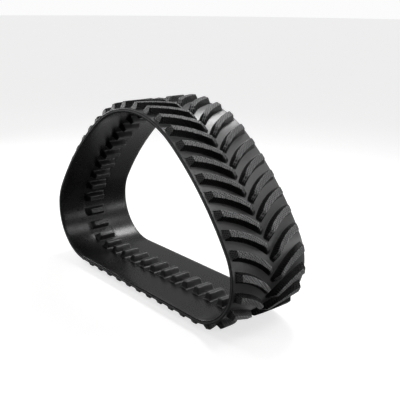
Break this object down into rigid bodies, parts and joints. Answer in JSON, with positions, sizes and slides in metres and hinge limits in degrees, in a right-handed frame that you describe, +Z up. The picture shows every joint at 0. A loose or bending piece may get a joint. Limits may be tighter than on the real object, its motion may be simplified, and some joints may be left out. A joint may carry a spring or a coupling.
{
  "type": "rubber track",
  "caption": "Endless rubber track in a rounded triangle, with staggered chevron tread bars outside and one row of drive lugs inside.",
  "frame": {"origin": "centre of the track's footprint, on the ground, at the bottom of the lowest tread bars", "axes": "+X along the track towards the end where the chevrons of the ground run point away from, +Y across the belt to the left, +Z up"},
  "size_m": [2.6036, 0.762, 1.658],
  "materials": {
    "cover_rubber": "smooth satin black rubber of the roller path",
    "edge_rubber": "trimmed grey-black rubber edge with a mould line",
    "lug_rubber": "moulded satin black rubber",
    "bar_rubber": "moulded black rubber, fine mesh texture on the bar tops",
    "tread_rubber": "moulded smooth black rubber between the bars",
    "cushion_rubber": "uncured-style gum, sealed inside",
    "ply_cord": "rubberised cord ply, sealed inside",
    "cable_steel": "brass-coated steel cable, sealed inside"
  },
  "bodies": {
    "root": {"inner_cover": "cover_rubber", "main_cables": "cable_steel", "cable_cushion": "cushion_rubber", "bias_ply_inner": "ply_cord", "cross_ply": "ply_cord", "bias_ply_outer": "ply_cord", "undertread": "tread_rubber", "edge_strip_left": "edge_rubber", "edge_strip_right": "edge_rubber", "drive_lug_01": "lug_rubber", "drive_lug_02": "lug_rubber", "drive_lug_03": "lug_rubber", "drive_lug_04": "lug_rubber", "drive_lug_05": "lug_rubber", "drive_lug_06": "lug_rubber", "drive_lug_07": "lug_rubber", "drive_lug_08": "lug_rubber", "drive_lug_09": "lug_rubber", "drive_lug_10": "lug_rubber", "drive_lug_11": "lug_rubber", "drive_lug_12": "lug_rubber", "drive_lug_13": "lug_rubber", "drive_lug_14": "lug_rubber", "drive_lug_15": "lug_rubber", "drive_lug_16": "lug_rubber", "drive_lug_17": "lug_rubber", "drive_lug_18": "lug_rubber", "drive_lug_19": "lug_rubber", "drive_lug_20": "lug_rubber", "drive_lug_21": "lug_rubber", "drive_lug_22": "lug_rubber", "drive_lug_23": "lug_rubber", "drive_lug_24": "lug_rubber", "drive_lug_25": "lug_rubber", "drive_lug_26": "lug_rubber", "drive_lug_27": "lug_rubber", "drive_lug_28": "lug_rubber", "drive_lug_29": "lug_rubber", "drive_lug_30": "lug_rubber", "drive_lug_31": "lug_rubber", "drive_lug_32": "lug_rubber", "drive_lug_33": "lug_rubber", "drive_lug_34": "lug_rubber", "drive_lug_35": "lug_rubber", "drive_lug_36": "lug_rubber", "drive_lug_37": "lug_rubber", "drive_lug_38": "lug_rubber", "drive_lug_39": "lug_rubber", "drive_lug_40": "lug_rubber", "drive_lug_41": "lug_rubber", "drive_lug_42": "lug_rubber", "tread_bars_right_ground": "bar_rubber", "tread_bars_right_front": "bar_rubber", "tread_bars_right_top": "bar_rubber", "tread_bars_right_rear": "bar_rubber", "tread_bars_left_ground": "bar_rubber", "tread_bars_left_front": "bar_rubber", "tread_bars_left_top": "bar_rubber", "tread_bars_left_rear": "bar_rubber"}
  },
  "joints": []
}
